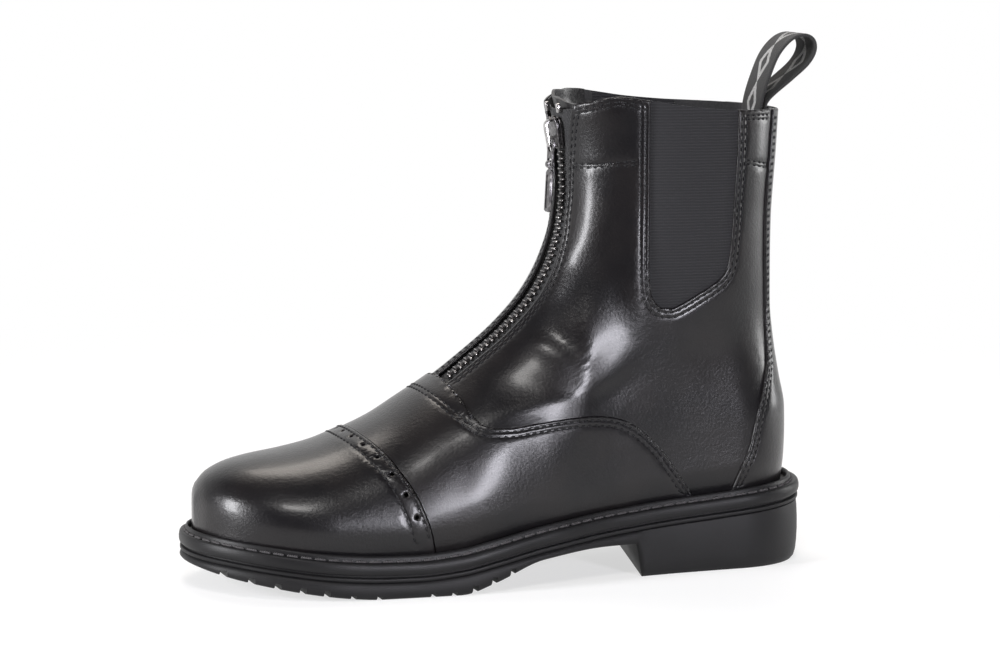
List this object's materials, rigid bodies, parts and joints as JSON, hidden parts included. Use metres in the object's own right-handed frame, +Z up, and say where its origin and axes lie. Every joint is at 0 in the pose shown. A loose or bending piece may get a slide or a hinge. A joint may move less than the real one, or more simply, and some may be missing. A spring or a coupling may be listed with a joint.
{
  "type": "paddock boot",
  "caption": "Ankle-high zip-front riding boot with a stitched toe cap, elastic side panels, heel pull loop and a welted rubber sole.",
  "frame": {"origin": "on the floor under the middle of the whole boot", "axes": "+X from toe to heel along the sole, +Y towards the inner side of the foot, +Z up"},
  "size_m": [0.281, 0.1018, 0.229],
  "materials": {
    "upper_leather": "polished smooth black leather",
    "guard_leather": "soft black leather, less polished",
    "sole_rubber": "satin moulded black rubber",
    "lining_textile": "dark woven lining",
    "elastic": "fine woven black elastic",
    "zip_textile": "herringbone woven black zip tape",
    "loop_webbing": "woven black webbing with plain light diamonds",
    "zip_metal": "gunmetal-plated metal"
  },
  "bodies": {
    "boot": {"outsole": "sole_rubber", "welt": "sole_rubber", "insole": "lining_textile", "upper": "upper_leather", "vamp": "upper_leather", "toe_cap": "upper_leather", "heel_counter": "upper_leather", "gusset_outer": "elastic", "gusset_inner": "elastic", "zip_tape": "zip_textile", "zip_guard": "guard_leather", "zip_teeth": "zip_metal", "zip_slider": "zip_metal", "pull_loop": "loop_webbing"},
    "pull_link": {"zip_pull_link": "zip_metal"},
    "pull_tab": {"zip_pull_tab": "zip_metal"}
  },
  "joints": [
    {"name": "link_hinge", "type": "hinge", "parent": "boot", "child": "pull_link", "pos_m": [0.02145, 0.00098, 0.18517], "axis": [0, 1, 0], "range_deg": [0, 110]},
    {"name": "tab_hinge", "type": "hinge", "parent": "pull_link", "child": "pull_tab", "pos_m": [0.02092, 0.00098, 0.17358], "axis": [0, 1, 0], "range_deg": [0, 85]}
  ]
}
